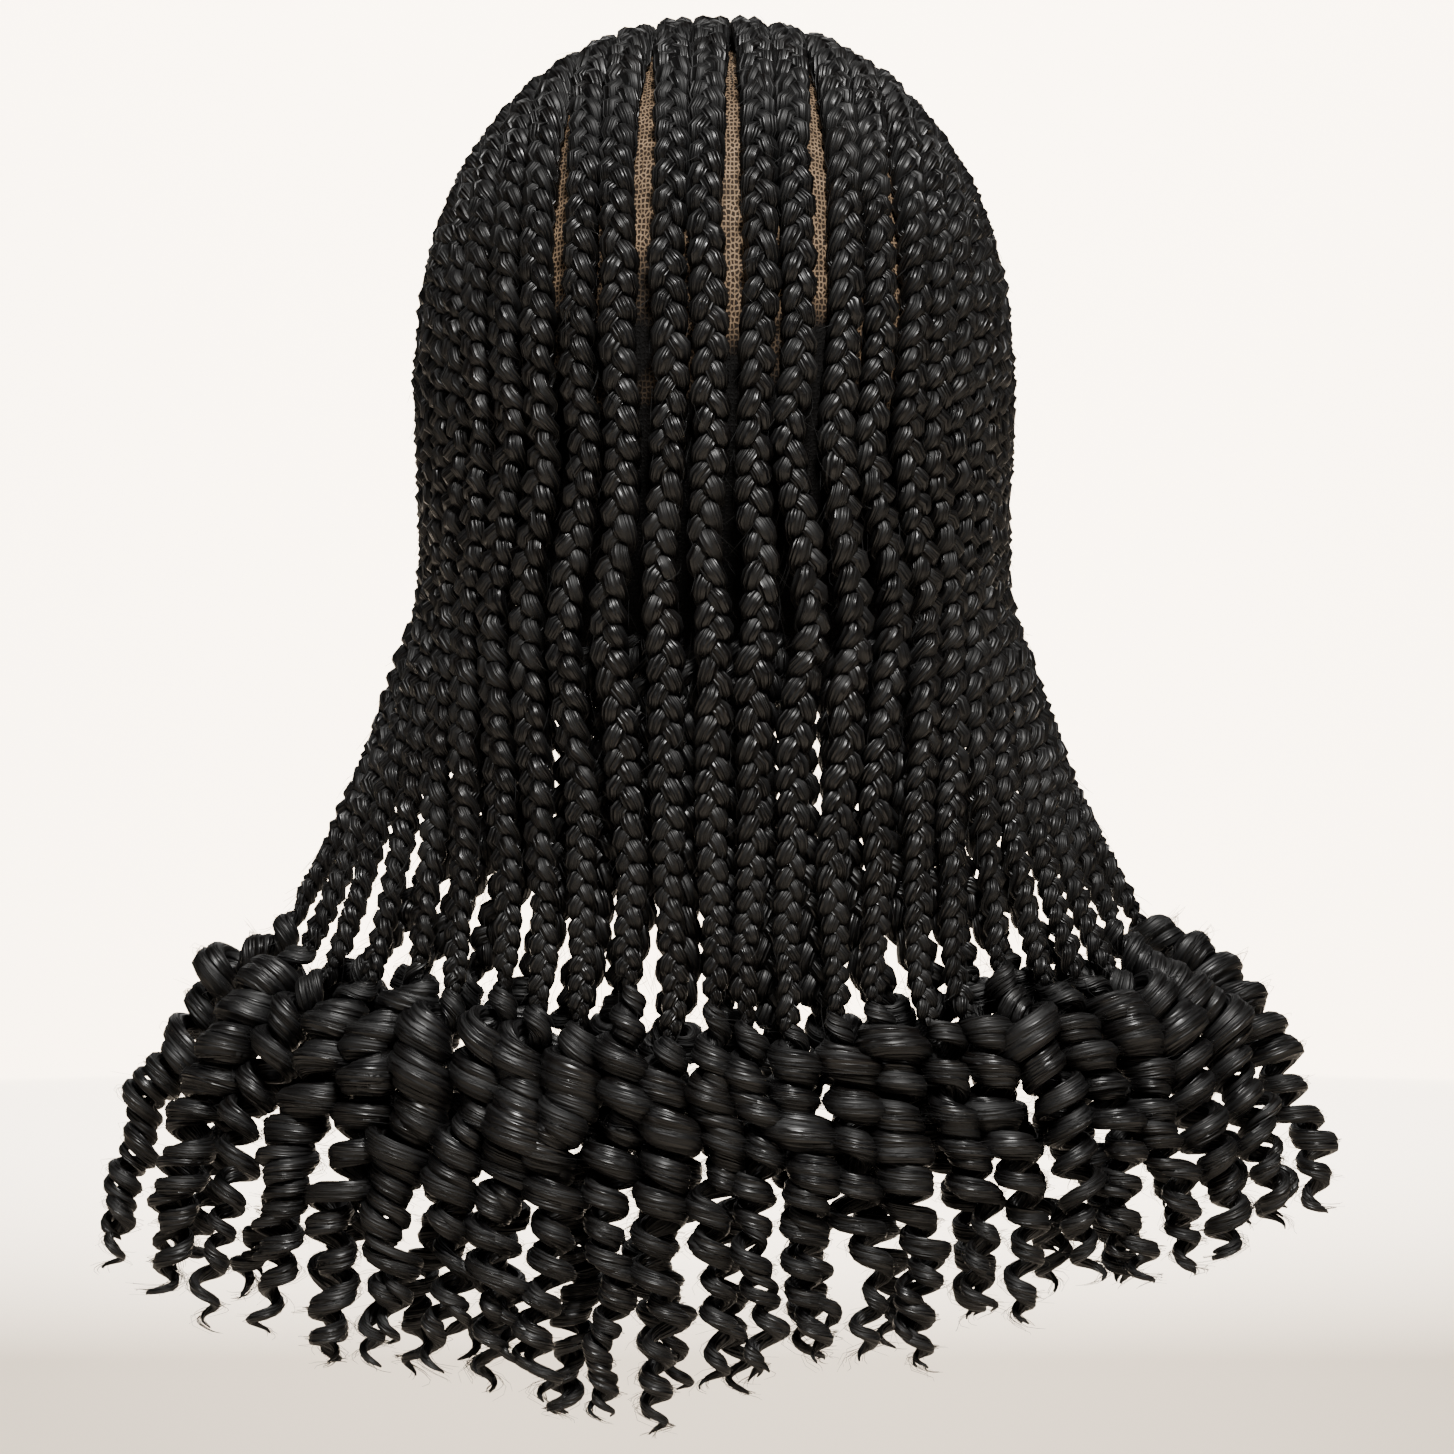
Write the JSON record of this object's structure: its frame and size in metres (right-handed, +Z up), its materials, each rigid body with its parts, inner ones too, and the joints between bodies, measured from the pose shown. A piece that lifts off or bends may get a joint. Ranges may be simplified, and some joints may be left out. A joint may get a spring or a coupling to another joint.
{
  "type": "braided wig",
  "caption": "Black braided wig: rows of plaits sewn to a net cap, hanging over the shoulders and ending in spiral curls.",
  "frame": {"origin": "highest point of the cap's inside, where it rests on the crown of the head", "axes": "+Z up, -Y out of the face opening, +X towards the wearer's left"},
  "size_m": [0.3517, 0.2049, 0.3975],
  "materials": {
    "cap_net": "fine tan mesh",
    "hair": "black synthetic hair with a soft sheen along the strands"
  },
  "bodies": {
    "root": {"net_cap": "cap_net", "crown_plait_01": "hair", "crown_plait_02": "hair", "crown_plait_03": "hair", "crown_plait_04": "hair", "crown_plait_05": "hair", "crown_plait_06": "hair", "crown_plait_07": "hair", "crown_plait_08": "hair", "crown_plait_09": "hair", "crown_plait_10": "hair", "crown_plait_11": "hair", "crown_plait_12": "hair", "crown_plait_13": "hair", "crown_plait_14": "hair", "crown_plait_15": "hair", "crown_plait_16": "hair", "crown_plait_17": "hair", "crown_plait_18": "hair", "crown_plait_19": "hair", "crown_plait_20": "hair", "crown_plait_21": "hair", "crown_plait_22": "hair", "crown_plait_23": "hair", "crown_plait_24": "hair", "nape_plait_01": "hair", "nape_plait_02": "hair", "nape_plait_03": "hair", "nape_plait_04": "hair", "nape_plait_05": "hair", "nape_plait_06": "hair", "nape_plait_07": "hair", "nape_plait_08": "hair", "nape_plait_09": "hair", "nape_plait_10": "hair", "nape_plait_11": "hair", "nape_plait_12": "hair", "nape_plait_13": "hair", "nape_plait_14": "hair", "nape_plait_15": "hair"}
  },
  "joints": []
}
